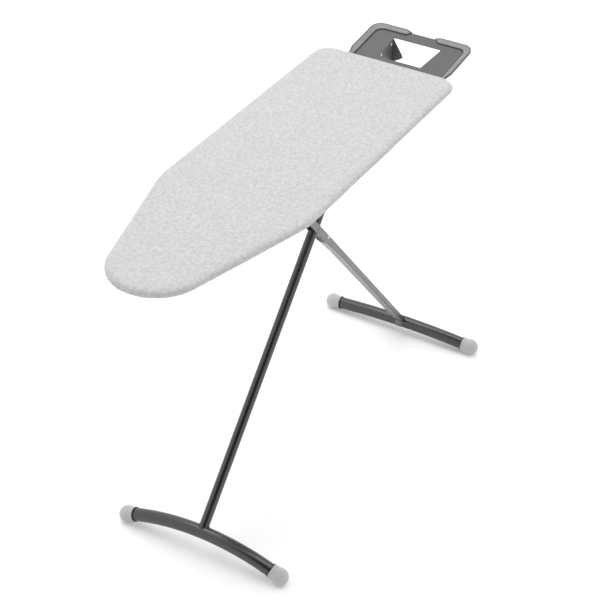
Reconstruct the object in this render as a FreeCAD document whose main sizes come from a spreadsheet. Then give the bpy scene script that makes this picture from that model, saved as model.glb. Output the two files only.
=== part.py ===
"""Folding ironing board: padded table, scissor legs on arched feet, and an iron rest.

Frame: +X runs along the table from its nose to the iron rest, +Y is the left side and
+Z is up. The origin is on the floor, under the middle of the length. Millimetres.
"""
import FreeCAD, Part
import math
import os
from FreeCAD import Placement, Rotation, Vector

os.makedirs("parts", exist_ok=True)
doc = FreeCAD.newDocument("ironing_board")

# ---------------------------------------------------------------- driving dimensions
SIZES = [
    ("tableheight", 900.0, "top of the padded table above the floor"),
    ("nosex", -548.8, "centre of the rounded nose"),
    ("noseradius", 106.35, "outline radius of the nose"),
    ("kinkx", -258.55, "where the tapered sides meet the straight sides"),
    ("kinkradius", 176.0, "rounding of that corner"),
    ("halfwidth", 185.85, "half the width of the table"),
    ("tailx", 459.65, "square end of the table"),
    ("tailradius", 46.0, "rounded corners of the square end"),
    ("coverthick", 1.2, "cloth of the cover"),
    ("coverdepth", 19.0, "depth of the cover over the edge of the table"),
    ("coverroll", 9.0, "soft rounding of the upper edge"),
    ("coverroot", 6.0, "rounding of the lower edge"),
    ("hemwidth", 40.0, "width of the hem turned in under the table"),
    ("elasticradius", 1.9, "elastic cord in the hem"),
    ("padthick", 8.0, "foam pad"),
    ("panelthick", 1.2, "steel table panel"),
    ("panelinset", 4.5, "edge of the panel inside the outline of the cover"),
    ("rimdepth", 6.8, "depth of the folded rim"),
    ("rimlip", 12.0, "inward lip of the rim"),
    ("ventradius", 7.0, "steam vents in the panel"),
    ("ventpitch", 52.0, "spacing of the steam vents"),
    ("legangle", 47.91, "slope of the lines from the scissor pivot to both upper pivots"),
    ("channelangle", 48.4, "slope of the rear leg"),
    ("scissorx", 104.1, "scissor pivot"),
    ("scissorz", 621.1, "scissor pivot above the floor"),
    ("toppivotz", 850.0, "leg pivots under the table"),
    ("legradius", 11.7, "front leg tube"),
    ("legwall", 1.5, "wall of the front leg tube"),
    ("footradius", 16.0, "foot tubes"),
    ("footwall", 1.5, "wall of the foot tubes"),
    ("frontfootx", -400.4, "front foot"),
    ("frontfootz", 60.3, "middle of the arched front foot"),
    ("frontcapy", 208.7, "half the distance between the front caps"),
    ("rearfootx", 628.65, "rear foot"),
    ("rearfootz", 30.3, "middle of the slightly arched rear foot"),
    ("rearcapy", 211.0, "half the distance between the rear caps"),
    ("capradius", 20.8, "ball of a foot cap"),
    ("capheight", 20.6, "centre of the ball above the floor"),
    ("capreach", 24.0, "from the end of the foot tube to the centre of the ball"),
    ("capstem", 20.0, "stem of the cap inside the tube"),
    ("caplip", 18.5, "lip of the cap against the collar"),
    ("capgroove", 17.2, "narrowest part of the cap's neck"),
    ("collarlength", 3.2, "collar at the end of a foot tube"),
    ("collarthick", 1.6, "thickness of that collar"),
    ("barradius", 7.0, "top bar of the front leg"),
    ("barwall", 1.5, "wall of the top bar"),
    ("barhalf", 72.0, "half the length of the top bar"),
    ("rodradius", 5.0, "sliding rod of the rear leg"),
    ("rodhalf", 76.0, "half the length of the sliding rod"),
    ("endcapthick", 4.0, "end caps of the bar and the rod"),
    ("sheetwall", 1.3, "sheet of the pressed rear leg"),
    ("channelhalf", 13.7, "half the outside width of the rear leg"),
    ("channelback", 6.0, "web of the rear leg below its middle line, near the foot"),
    ("webknee", 170.0, "where the web starts to slope away from that line, below the pivot"),
    ("webdrop", 10.6, "web below that line at its upper end"),
    ("channeldepth", 12.0, "depth of the rear leg near its foot"),
    ("forktop", 8.5, "cheeks of the rear leg above its middle line, near the pivot"),
    ("forkend", 10.0, "rounded end of the fork round the sliding rod"),
    ("webstart", 64.0, "where the web begins below the pivot"),
    ("boltradius", 4.0, "scissor bolt"),
    ("sleevewall", 1.45, "steel sleeve through the front leg"),
    ("runclear", 0.05, "radial clearance of a turning fit"),
    ("slideclear", 0.4, "clearance of the sliding rod in its slot"),
    ("railhalf", 55.0, "inner face of each slide rail"),
    ("railwall", 1.5, "sheet of the slide rails"),
    ("raildepth", 51.6, "depth of the slide rails"),
    ("railreach", 345.0, "half the length of the slide rails"),
    ("railflange", 15.0, "upper flange of the rails"),
    ("raillip", 8.0, "lower lip of the rails"),
    ("slotstart", -307.65, "nose end of the slot for the sliding rod"),
    ("slotend", -84.0, "other end of that slot"),
    ("bracewidth", 30.0, "cross braces along the table"),
    ("bracedepth", 22.0, "depth of the cross braces"),
    ("bracewall", 1.2, "sheet of the cross braces"),
    ("braceflange", 9.0, "flanges of the cross braces"),
    ("braceslope", 3.0, "slope of their sides"),
    ("bracefront", -387.65, "front cross brace"),
    ("bracefronthalf", 98.0, "half its length"),
    ("bracerear", 378.35, "rear cross brace"),
    ("bracerearhalf", 128.0, "half its length"),
    ("staywidth", 230.0, "stay behind the rear brace"),
    ("staylow", 849.0, "lower edge of the stay"),
    ("staydepth", 36.8, "depth of the stay"),
    ("restangle", 6.2, "rise of the iron rest"),
    ("restx", 496.6, "place of the rest's own origin"),
    ("restz", 867.3, "height of that origin, on the plate"),
    ("restwall", 1.5, "sheet of the iron rest"),
    ("restlength", 141.5, "rear edge of the plate from its origin"),
    ("restfront", 57.0, "plate in front of its origin, under the table"),
    ("resthalf", 118.0, "half the width of the plate"),
    ("restradius", 18.0, "rear corners of the plate"),
    ("lipflare", 12.0, "outward flare of the lip"),
    ("liprise", 2.5, "height of the lip"),
    ("guardflare", 18.0, "outward reach of the heat guards from the foot of the lip"),
    ("guardrise", 6.6, "height of their outer edge above the plate"),
    ("guardgap", 47.0, "half the gap between the guards at the rear"),
    ("guardtip", 32.0, "half the gap between their pointed tips"),
    ("bracketx", 613.35, "rear edge of the rest brackets"),
    ("bracketlow", 815.0, "lowest point of their rear edge"),
    ("bracketinner", 64.5, "inner face of the rest brackets"),
    ("rivetradius", 2.5, "rivet shanks"),
    ("headradius", 4.2, "rivet heads"),
    ("headheight", 1.6, "height of the rivet heads"),
    ("leverinner", 66.0, "inner face of the release lever"),
    ("leverthick", 3.0, "thickness of the release lever"),
    ("leverx", -25.65, "pivot of the release lever"),
    ("leverz", 862.0, "height of that pivot"),
    ("leverreach", 295.0, "from that pivot to the free end"),
    ("pinradius", 3.0, "pin of the release lever"),
    ("leverboss", 9.0, "boss of the release lever round its pivot"),
    ("leverdepth", 11.0, "depth of its clamp bar"),
    ("leverclear", 0.5, "clearance of the clamp bar over the sliding rod"),
    ("handleradius", 3.0, "cross rod of the release lever"),
    ("handleset", 34.0, "cross rod from the lever's pivot"),
    ("handlereach", 62.0, "cross rod beyond the lever"),
    ("gripradius", 8.0, "grip of the release lever"),
    ("griplength", 46.0, "length of the grip"),
    ("gripset", 18.0, "grip beyond the lever"),
    ("springradius", 5.0, "coil of the torsion spring"),
    ("springwire", 0.55, "radius of its wire"),
    ("springpitch", 1.5, "rise of one of its turns"),
]

sheet = doc.addObject("Spreadsheet::Sheet", "sizes")
for row, (alias, value, meaning) in enumerate(SIZES, 1):
    sheet.set(f"A{row}", meaning)
    sheet.set(f"B{row}", str(value))
    sheet.setAlias(f"B{row}", alias)
doc.recompute()


def size(alias):
    """Value of one driving dimension."""
    return float(sheet.get(alias))


X_AXIS = Vector(1, 0, 0)
Y_AXIS = Vector(0, 1, 0)
Z_AXIS = Vector(0, 0, 1)
SIDES = (("left", 1), ("right", -1))
nodes = []


# ---------------------------------------------------------------- helpers
def keep(obj, label):
    """Name an object as one sub-part of the board."""
    obj.Label = label
    nodes.append(obj)
    return obj


def bind(obj, **expressions):
    """Bind properties to the sheet."""
    for name, expression in expressions.items():
        obj.setExpression(name, expression)


def along(base, direction):
    """Placement whose own Z axis points along a direction."""
    return Placement(base, Rotation(Z_AXIS, direction))


def cylinder(name, radius, height, placement):
    rod = doc.addObject("Part::Cylinder", name)
    bind(rod, Radius=radius, Height=height)
    rod.Placement = placement
    return rod


def box(name, length, width, height, base):
    block = doc.addObject("Part::Box", name)
    bind(block, Length=length, Width=width, Height=height)
    block.Placement = Placement(base, Rotation())
    return block


def union(name, parts):
    if len(parts) == 1:
        return parts[0]
    joined = doc.addObject("Part::MultiFuse", name)
    joined.Shapes = parts
    return joined


def cut(name, base, tools):
    hollow = doc.addObject("Part::Cut", name)
    hollow.Base = base
    hollow.Tool = union(name + "_tools", tools)
    return hollow


def common(name, base, tool):
    shared = doc.addObject("Part::Common", name)
    shared.Base = base
    shared.Tool = tool
    return shared


def solid(name, shape):
    """A shape made with Part's own functions."""
    feature = doc.addObject("Part::Feature", name)
    feature.Shape = shape
    return feature


def plane_of(body, role):
    return next(item for item in body.Origin.OriginFeatures if item.Role == role)


def slab(name, role, edges, start, length, placement=None):
    """A plate: a closed outline sketched on an origin plane, and padded."""
    body = doc.addObject("PartDesign::Body", name)
    sketch = body.newObject("Sketcher::SketchObject", name + "_outline")
    sketch.AttachmentSupport = (plane_of(body, role), [""])
    sketch.MapMode = "FlatFace"
    sketch.setExpression("AttachmentOffset.Base.z", start)
    sketch.addGeometry(edges, False)
    plate = body.newObject("PartDesign::Pad", name + "_pad")
    plate.Profile = sketch
    bind(plate, Length=length)
    body.Placement = placement or Placement()
    doc.recompute()
    return body


def line(start, end):
    return Part.LineSegment(Vector(*start, 0), Vector(*end, 0))


def arc(start, middle, end):
    return Part.Arc(Vector(*start, 0), Vector(*middle, 0), Vector(*end, 0))


def polygon(points):
    return [line(a, b) for a, b in zip(points, points[1:] + points[:1])]


def polar(centre, radius, angle):
    """Point on a circle in a sketch, by its angle in degrees."""
    turn = math.radians(angle)
    return (centre[0] + radius * math.cos(turn), centre[1] + radius * math.sin(turn))


def rivets(name, places, direction, shank, both=False):
    """Rivets at places on a surface: domed heads outside, shanks going in."""
    pieces = []
    for place in places:
        head = Part.makeSphere(size("headradius") * 1.35, Vector(), Z_AXIS)
        rise = size("headradius") * 1.35 - size("headheight")
        head.translate(Vector(0, 0, -rise))
        dome = head.common(Part.makeCylinder(size("headradius"), size("headheight")))
        body = Part.makeCylinder(size("rivetradius"), shank, Vector(0, 0, -shank))
        piece = dome.fuse(body)
        if both:
            tail = Part.makeCylinder(size("headradius"), 0.3, Vector(0, 0, -shank - 0.3))
            piece = piece.fuse(tail)
        piece.Placement = along(place, direction)
        pieces.append(piece.removeSplitter())
    return solid(name, Part.makeCompound(pieces))


def shank_holes(name, places, direction, depth):
    """Cylinders that cut the rivets' holes."""
    holes = [Part.makeCylinder(size("rivetradius"), 2 * depth, place - direction * depth, direction)
             for place in places]
    return solid(name, Part.makeCompound(holes))


# ---------------------------------------------------------------- table outline
NOSE = (size("nosex"), 0.0)
NOSE_RADIUS = size("noseradius")
HALF = size("halfwidth")
KINK_RUN = size("kinkx") - size("nosex")
TAPER = math.degrees(math.atan2(HALF, KINK_RUN)
                     - math.asin(NOSE_RADIUS / math.hypot(KINK_RUN, HALF)))
KINK_RADIUS = size("kinkradius")
KINK_CENTRE = (size("kinkx") + KINK_RADIUS * math.tan(math.radians(TAPER / 2)), HALF - KINK_RADIUS)
TAIL_RADIUS = size("tailradius")
TAIL_CENTRE = (size("tailx") - TAIL_RADIUS, HALF - TAIL_RADIUS)


def mirrored(point):
    return (point[0], -point[1])


def table_outline(inset):
    """Nose arc, tapered sides, straight sides and rounded tail, moved inwards."""
    nose = polar(NOSE, NOSE_RADIUS - inset, 90 + TAPER)
    tip = polar(NOSE, NOSE_RADIUS - inset, 180)
    kink = [polar(KINK_CENTRE, KINK_RADIUS - inset, 90 + TAPER * part) for part in (1, 0.5, 0)]
    tail = [polar(TAIL_CENTRE, TAIL_RADIUS - inset, angle) for angle in (90, 45, 0)]
    edges = [arc(mirrored(nose), tip, nose)]
    for flip in (lambda point: point, mirrored):
        edges.append(line(flip(nose), flip(kink[0])))
        edges.append(arc(*[flip(point) for point in kink]))
        edges.append(line(flip(kink[2]), flip(tail[0])))
        edges.append(arc(*[flip(point) for point in tail]))
    edges.append(line(tail[2], mirrored(tail[2])))
    return edges


def soften(body, radius, level):
    """Round the edges of a padded plate that lie at one height."""
    plate = body.Tip
    names = [f"Edge{number}" for number, edge in enumerate(plate.Shape.Edges, 1)
             if all(abs(vertex.Z - level) < 0.01 for vertex in edge.Vertexes)]
    rounding = body.newObject("PartDesign::Fillet", body.Name + "_round" + radius.split(".")[-1][:9])
    rounding.Base = (plate, names)
    rounding.UseAllEdges = False
    rounding.setExpression("Radius", radius)
    body.Tip = rounding
    doc.recompute()
    return body


# ---------------------------------------------------------------- table
TOP = size("tableheight")
COVER_LOW = TOP - size("coverdepth")
PANEL_LOW = TOP - size("coverthick") - size("padthick") - size("panelthick") - 0.1
COVER_THICK = size("coverthick")


def table_cover():
    """Fitted cover: a cloth shell over the pad, with a hem turned in underneath."""
    outside = slab("cover_outside", "XY_Plane", table_outline(0),
                   "sizes.tableheight - sizes.coverdepth", "sizes.coverdepth")
    soften(outside, "sizes.coverroll", TOP)
    soften(outside, "sizes.coverroot", COVER_LOW)
    inside = slab("cover_inside", "XY_Plane", table_outline(COVER_THICK),
                  "sizes.tableheight - sizes.coverdepth + sizes.coverthick",
                  "sizes.coverdepth - 2 * sizes.coverthick")
    soften(inside, "sizes.coverroll - sizes.coverthick", TOP - COVER_THICK)
    soften(inside, "sizes.coverroot - sizes.coverthick", COVER_LOW + COVER_THICK)
    mouth = slab("cover_mouth", "XY_Plane", table_outline(size("hemwidth")),
                 "sizes.tableheight - sizes.coverdepth - 1", "sizes.coverthick + 2")
    keep(cut("cover", outside, [inside, mouth]), "cover")
    path = Part.Wire([edge.toShape() for edge in table_outline(size("hemwidth") + 2.1)])
    path.translate(Vector(0, 0, COVER_LOW + COVER_THICK / 2))
    start = path.Edges[-1].valueAt(path.Edges[-1].FirstParameter)
    ring = Part.Wire(Part.makeCircle(size("elasticradius"), start, Y_AXIS))
    cord = path.makePipeShell([ring], True, False)
    keep(solid("hem_elastic", cord), "hem_elastic")


def table_pad():
    """Foam pad lying on the panel, rounded at the edge under the cover."""
    pad = slab("foam_pad", "XY_Plane", table_outline(COVER_THICK + 0.3),
               "sizes.tableheight - sizes.coverthick - sizes.padthick", "sizes.padthick - 0.1")
    soften(pad, "sizes.coverroll - sizes.coverthick - 0.1", TOP - COVER_THICK - 0.1)
    keep(pad, "foam_pad")


def table_panel():
    """Steel panel with steam vents, and the folded rim under its edge."""
    inset = size("panelinset")
    plate = slab("panel_blank", "XY_Plane", table_outline(inset),
                 "sizes.tableheight - sizes.coverthick - sizes.padthick - sizes.panelthick - 0.1",
                 "sizes.panelthick")
    pitch = size("ventpitch")
    room = Part.Face(Part.Wire([edge.toShape() for edge in table_outline(inset + 34)]))
    vents = []
    for row in range(-3, 4):
        shift = pitch / 2 * (row % 2)
        for column in range(-12, 10):
            place = Vector(column * pitch + shift, row * pitch * 0.72, 0)
            under_rail = abs(abs(place.y) - size("railhalf") - 9) < 19 and abs(place.x) < 400
            if room.isInside(place, 0.01, True) and not under_rail:
                place.z = PANEL_LOW - 1
                vents.append(Part.makeCylinder(size("ventradius"), size("panelthick") + 2, place))
    holes = solid("vents", Part.makeCompound(vents))
    fixings = shank_holes("panel_fixings", RAIL_RIVETS, Z_AXIS, 5)
    keep(cut("table_panel", plate, [holes, fixings]), "table_panel")
    outer = slab("rim_outer", "XY_Plane", table_outline(inset), f"{PANEL_LOW} - sizes.rimdepth",
                 "sizes.rimdepth")
    room_in = slab("rim_room", "XY_Plane", table_outline(inset + size("panelthick")),
                   f"{PANEL_LOW} - sizes.rimdepth + sizes.panelthick", "sizes.rimdepth")
    mouth = slab("rim_mouth", "XY_Plane", table_outline(inset + size("rimlip")),
                 f"{PANEL_LOW} - sizes.rimdepth - 1", "sizes.rimdepth")
    keep(cut("edge_rim", outer, [room_in, mouth]), "edge_rim")


RAIL_RIVET_X = (-320, -160, 0, 160, 320)
RAIL_RIVETS = [Vector(x, side * (size("railhalf") + 9.5), PANEL_LOW - size("railwall"))
               for _, side in SIDES for x in RAIL_RIVET_X]


def cross_brace(label, centre, half):
    """Hat section across the table, welded under the panel."""
    width = size("bracewidth")
    depth = size("bracedepth")
    wall = size("bracewall")
    low = PANEL_LOW - depth
    outer = width / 2 + size("braceflange")
    foot = width / 2 - size("braceslope")
    profile = [(-outer, PANEL_LOW), (-outer, PANEL_LOW - wall), (-width / 2, PANEL_LOW - wall),
               (-foot, low), (foot, low), (width / 2, PANEL_LOW - wall), (outer, PANEL_LOW - wall),
               (outer, PANEL_LOW), (width / 2 - wall, PANEL_LOW), (foot - wall, low + wall),
               (wall - foot, low + wall), (wall - width / 2, PANEL_LOW)]
    brace = slab(label, "XZ_Plane", polygon(profile), f"-{half}", f"2 * {half}",
                 Placement(Vector(centre, 0, 0), Rotation()))
    keep(brace, label)


# ---------------------------------------------------------------- leg geometry
ANGLE = size("legangle")
SLOPE = math.radians(ANGLE)
SCISSOR = Vector(size("scissorx"), 0, size("scissorz"))
ARM = (size("toppivotz") - size("scissorz")) / math.sin(SLOPE)
FRONT_TOP = SCISSOR + Vector(ARM * math.cos(SLOPE), 0, ARM * math.sin(SLOPE))
ROD_PLACE = SCISSOR + Vector(-ARM * math.cos(SLOPE), 0, ARM * math.sin(SLOPE))
FRONT_AXIS = Vector(math.cos(SLOPE), 0, math.sin(SLOPE))
FRONT_START = SCISSOR - FRONT_AXIS * ((size("scissorz") - size("frontfootz")) / math.sin(SLOPE))
REAR_FRAME = Placement(SCISSOR, Rotation(Y_AXIS, size("channelangle")))
REAR_FOOT = Vector(size("rearfootx"), 0, size("rearfootz"))
REAR_FOOT_OWN = REAR_FRAME.inverse().multVec(REAR_FOOT)
ROD_OWN = REAR_FRAME.inverse().multVec(ROD_PLACE)


def slide_rail(name, side):
    """Channel with the slot for the sliding rod and a round hole for the front leg's bar."""
    inner = size("railhalf")
    wall = size("railwall")
    low = PANEL_LOW - size("raildepth")
    profile = [(inner, PANEL_LOW), (inner, low), (inner + size("raillip"), low),
               (inner + size("raillip"), low + wall), (inner + wall, low + wall),
               (inner + wall, PANEL_LOW - wall), (inner + size("railflange"), PANEL_LOW - wall),
               (inner + size("railflange"), PANEL_LOW)]
    blank = slab(name + "_blank", "YZ_Plane", polygon([(side * y, z) for y, z in profile]),
                 "-sizes.railreach", "2 * sizes.railreach")
    across = Rotation(Z_AXIS, Y_AXIS)
    radius = "sizes.rodradius + sizes.slideclear"
    start = side * (inner + wall / 2) - 5
    slot = [cylinder(f"{name}_slot_{end}", radius, "10",
                     Placement(Vector(size(end), start, size("toppivotz")), across))
            for end in ("slotstart", "slotend")]
    gap = size("rodradius") + size("slideclear")
    slot.append(box(name + "_slot", "sizes.slotend - sizes.slotstart", "10",
                    "2 * (sizes.rodradius + sizes.slideclear)",
                    Vector(size("slotstart"), start, size("toppivotz") - gap)))
    bush = cylinder(name + "_bush_hole", "sizes.barradius + 2.5", "10",
                    Placement(Vector(FRONT_TOP.x, start, FRONT_TOP.z), across))
    tools = slot + [bush, shank_holes(name + "_fixings", RAIL_RIVETS, Z_AXIS, 5)]
    if side < 0:
        tools.append(cylinder(name + "_pin_hole", "sizes.pinradius", "10",
                              Placement(Vector(size("leverx"), start, size("leverz")), across)))
    keep(cut(name, blank, tools), name)


def top_pivot_bushes():
    """Flanged nylon bushes in the rails, where the front leg's bar turns."""
    pieces = []
    for _, side in SIDES:
        across = Y_AXIS * side
        inner = size("railhalf")
        bore = size("barradius") + size("runclear")
        start = Vector(FRONT_TOP.x, side * (inner - 1.6), FRONT_TOP.z)
        flange = Part.makeCylinder(bore + 6, 1.6, start, across)
        barrel = Part.makeCylinder(size("barradius") + 2.5, 1.6 + size("railwall") + 3, start, across)
        hole = Part.makeCylinder(bore, 20, start - across * 5, across)
        pieces.append(flange.fuse(barrel).cut(hole).removeSplitter())
    keep(solid("top_pivot_bushes", Part.makeCompound(pieces)), "top_pivot_bushes")


def end_caps(label, place, half, radius):
    """Push-on caps at both ends of a bar that runs across the table."""
    caps = []
    for _, side in SIDES:
        start = place + Y_AXIS * (side * half)
        cap = Part.makeCylinder(radius + 1.8, size("endcapthick"), start, Y_AXIS * side)
        rim = max(cap.Edges, key=lambda edge: abs(edge.CenterOfMass.y))
        caps.append(cap.makeFillet(1.4, [rim]))
    keep(solid(label, Part.makeCompound(caps)), label)


# ---------------------------------------------------------------- front leg
def front_leg():
    """Round tube up to the top bar, with a steel sleeve for the scissor bolt."""
    length = (FRONT_TOP - FRONT_START).Length + 13
    placement = along(FRONT_START, FRONT_AXIS)
    outside = cylinder("leg_outside", "sizes.legradius", f"{length}", placement)
    bore = cylinder("leg_bore", "sizes.legradius - sizes.legwall", f"{length + 10}", placement)
    across = Rotation(Z_AXIS, Y_AXIS)
    bar_hole = cylinder("leg_bar_hole", "sizes.barradius", "60",
                        Placement(FRONT_TOP - Y_AXIS * 30, across))
    sleeve_hole = cylinder("leg_sleeve_hole", "sizes.boltradius + sizes.runclear + sizes.sleevewall",
                           "60", Placement(SCISSOR - Y_AXIS * 30, across))
    centre = Vector(size("frontfootx"), 0, size("frontfootz") - FRONT_ARCH)
    saddle = solid("leg_saddle", Part.makeTorus(FRONT_ARCH, size("footradius"), centre, X_AXIS))
    keep(cut("front_leg_tube", outside, [bore, bar_hole, sleeve_hole, saddle]), "front_leg_tube")
    sleeve = cylinder("sleeve_body", "sizes.boltradius + sizes.runclear + sizes.sleevewall",
                      "2 * sizes.legradius - 0.2",
                      Placement(SCISSOR - Y_AXIS * (size("legradius") - 0.1), across))
    sleeve_bore = cylinder("sleeve_bore", "sizes.boltradius + sizes.runclear", "60",
                           Placement(SCISSOR - Y_AXIS * 30, across))
    keep(cut("pivot_sleeve", sleeve, [sleeve_bore]), "pivot_sleeve")
    bar = cylinder("bar_outside", "sizes.barradius", "2 * sizes.barhalf",
                   Placement(FRONT_TOP - Y_AXIS * size("barhalf"), across))
    bar_bore = cylinder("bar_bore", "sizes.barradius - sizes.barwall", "2 * sizes.barhalf + 2",
                        Placement(FRONT_TOP - Y_AXIS * (size("barhalf") + 1), across))
    keep(cut("front_leg_top_bar", bar, [bar_bore]), "front_leg_top_bar")
    end_caps("top_bar_caps", FRONT_TOP, size("barhalf"), size("barradius"))


# ---------------------------------------------------------------- feet
def arch_radius(prefix):
    """Radius of a foot whose caps, straight on from its ends, stand at the caps' height."""
    half = size(prefix + "capy")
    rise = size(prefix + "footz") - size("capheight")
    return (half ** 2 + rise ** 2 - size("capreach") ** 2) / (2 * rise)


FRONT_ARCH = arch_radius("front")
REAR_ARCH = arch_radius("rear")


def foot(prefix, arch):
    """Arched tube across the board, with a collar and a ball cap at each end."""
    x = size(prefix + "footx")
    centre = Vector(x, 0, size(prefix + "footz") - arch)
    cap_angle = math.degrees(math.asin(size(prefix + "capy") / math.hypot(arch, size("capreach"))))
    tube_angle = cap_angle - math.degrees(math.atan2(size("capreach"), arch))
    start = Rotation(X_AXIS, 90 - tube_angle).multiply(
        Rotation(Vector(0, 1, 0), Vector(0, 0, 1), Vector(1, 0, 0), "ZXY"))
    tubes = []
    for part, radius in (("outside", "sizes.footradius"),
                         ("bore", "sizes.footradius - sizes.footwall")):
        ring = doc.addObject("Part::Torus", f"{prefix}_foot_{part}")
        ring.setExpression("Radius2", radius)
        ring.Radius1 = arch
        ring.Angle3 = 2 * tube_angle
        ring.Placement = Placement(centre, start)
        tubes.append(ring)
    keep(cut(f"{prefix}_foot_tube", tubes[0], [tubes[1]]), f"{prefix}_foot_tube")
    collars = []
    for name, side in SIDES:
        lean = math.radians(tube_angle)
        outward = Vector(0, side * math.cos(lean), -math.sin(lean))
        end = centre + Vector(0, side * math.sin(lean), math.cos(lean)) * arch
        collar = Part.makeCylinder(size("footradius") + size("collarthick"), size("collarlength"),
                                   end - outward * size("collarlength"), outward)
        sleeve = Part.makeCylinder(size("footradius") + 0.04, 40, end - outward * 20, outward)
        collars.append(collar.cut(sleeve))
        foot_cap(f"{prefix}_foot_cap_{name}", end, outward)
    label = f"{prefix}_foot_collars"
    keep(solid(label, Part.makeCompound(collars)), label)


def foot_cap(label, end, outward):
    """Ball cap with a tapered neck, a lip against the collar and a stem in the tube."""
    ball = size("capradius")
    reach = size("capreach")
    lip = size("caplip")
    groove = size("capgroove")
    stem = size("footradius") - size("footwall") - 0.4
    neck_angle = 108
    shoulder = (ball * math.sin(math.radians(neck_angle)),
                reach + ball * math.cos(math.radians(neck_angle)))
    body = doc.addObject("PartDesign::Body", label + "_ball")
    sketch = body.newObject("Sketcher::SketchObject", label + "_profile")
    sketch.AttachmentSupport = (plane_of(body, "XZ_Plane"), [""])
    sketch.MapMode = "FlatFace"
    half = math.radians(neck_angle / 2)
    edges = [
        line((0, -size("capstem")), (stem - 1, -size("capstem"))),
        line((stem - 1, -size("capstem")), (stem, 1 - size("capstem"))),
        line((stem, 1 - size("capstem")), (stem, 0)),
        line((stem, 0), (lip - 0.6, 0)),
        arc((lip - 0.6, 0), (lip, 1.3), (lip - 0.6, 2.6)),
        line((lip - 0.6, 2.6), (groove, 3.2)),
        line((groove, 3.2), shoulder),
        arc(shoulder, (ball * math.sin(half), reach + ball * math.cos(half)), (0, reach + ball)),
        line((0, reach + ball), (0, -size("capstem"))),
    ]
    sketch.addGeometry(edges, False)
    turned = body.newObject("PartDesign::Revolution", label + "_turned")
    turned.Profile = sketch
    turned.ReferenceAxis = (sketch, ["V_Axis"])
    turned.Angle = 360
    body.Placement = along(end, outward)
    floor = box(label + "_floor", "200", "200", "50", Vector(end.x - 100, end.y - 100, -50))
    keep(cut(label, body, [floor]), label)


# ---------------------------------------------------------------- rear leg
def across_rear(name, radius, u, v=0.0, half=40.0):
    """Cylinder across the rear leg, at a place in the leg's own frame."""
    centre = REAR_FRAME.multVec(Vector(u, 0, v))
    return cylinder(name, radius, f"{2 * half}",
                    Placement(centre - Y_AXIS * half, Rotation(Z_AXIS, Y_AXIS)))


def web_line(offset):
    """Lower edge of the rear leg from its foot to the fork, moved towards the middle line."""
    return [(REAR_FOOT_OWN.x, offset - size("channelback")), (size("webknee"), offset - 6.4),
            (size("webstart"), offset - size("webdrop"))]


def side_profile(points, half):
    """Solid from an outline in the rear leg's own plane, to both sides of the middle."""
    corners = [Vector(u, -half, v) for u, v in points]
    return Part.Face(Part.makePolygon(corners + corners[:1])).extrude(Y_AXIS * (2 * half))


def bend_edges(shape, points, half):
    """Long lower edges of such a solid, where the sheet is bent."""
    ends = [Vector(u, side * half, v) for u, v in points for _, side in SIDES]
    return [edge for edge in shape.Edges
            if abs(edge.Vertexes[0].Y - edge.Vertexes[-1].Y) < 0.01
            and all(any(vertex.Point.distanceToPoint(end) < 0.01 for end in ends)
                    for vertex in edge.Vertexes)]


def rear_leg_channel():
    """Pressed strip: a channel below the pivot, and a fork of two cheeks above it."""
    half = size("channelhalf")
    wall = size("sheetwall")
    back = -size("channelback")
    foot_u = REAR_FOOT_OWN.x
    fork = size("forktop")
    end = size("forkend")
    rod = (ROD_OWN.x, ROD_OWN.z)
    lower = web_line(0)
    tip = [polar(rod, end, angle) for angle in range(270, 89, -20)]
    outline = [(rod[0], rod[1] + end), (-24, fork), (60, fork), (foot_u, back + size("channeldepth"))]
    outline += lower + [(-40, -size("webdrop") - 0.4), (rod[0], rod[1] - end)] + tip[1:-1]
    blank = side_profile(outline, half)
    blank = blank.makeFillet(2.6, bend_edges(blank, lower, half))
    inner = web_line(wall)
    above = 60
    room = side_profile([(foot_u + 30, inner[0][1])] + inner
                        + [(rod[0] - 40, inner[-1][1]), (rod[0] - 40, above), (foot_u + 30, above)],
                        half - wall)
    gap = Part.makeBox(size("webstart") - rod[0] + 40, 2 * (half - wall), 2 * above,
                       Vector(rod[0] - 40, wall - half, -above))
    nose = Part.makeCylinder(half - wall, 2 * above, Vector(size("webstart"), 0, -above))
    arch = gap.fuse(nose)
    for shape in (blank, room, arch):
        shape.Placement = REAR_FRAME
    blank = solid("channel_blank", blank)
    saddle = across_rear("channel_saddle", "sizes.footradius", REAR_FOOT_OWN.x, REAR_FOOT_OWN.z)
    tools = [solid("channel_room", room), solid("fork_gap", arch), saddle,
             across_rear("channel_bolt_hole", "sizes.boltradius", 0),
             across_rear("channel_rod_hole", "sizes.rodradius", ROD_OWN.x, ROD_OWN.z),
             across_rear("channel_rivet_hole", "sizes.rivetradius", RIVET_U, RIVET_V)]
    shell = cut("channel_shell", blank, tools)
    wrap = across_rear("tongue_wrap", "sizes.footradius + sizes.sheetwall", REAR_FOOT_OWN.x,
                       REAR_FOOT_OWN.z)
    core = across_rear("tongue_core", "sizes.footradius", REAR_FOOT_OWN.x, REAR_FOOT_OWN.z)
    ring = cut("tongue_ring", wrap, [core])
    width = half - 3.2
    pad_edges = [line((foot_u - 18, -width), (foot_u - 5, -width)),
                 arc((foot_u - 5, -width), (foot_u - 5 + width, 0), (foot_u - 5, width)),
                 line((foot_u - 5, width), (foot_u - 18, width)),
                 line((foot_u - 18, width), (foot_u - 18, -width))]
    shape = slab("tongue_shape", "XY_Plane", pad_edges, "-60", f"{60 + back + 0.9}", REAR_FRAME)
    tongue = common("tongue", ring, shape)
    keep(union("rear_leg_channel", [shell, tongue]), "rear_leg_channel")


RIVET_U = 69.0
RIVET_V = 4.0


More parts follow.
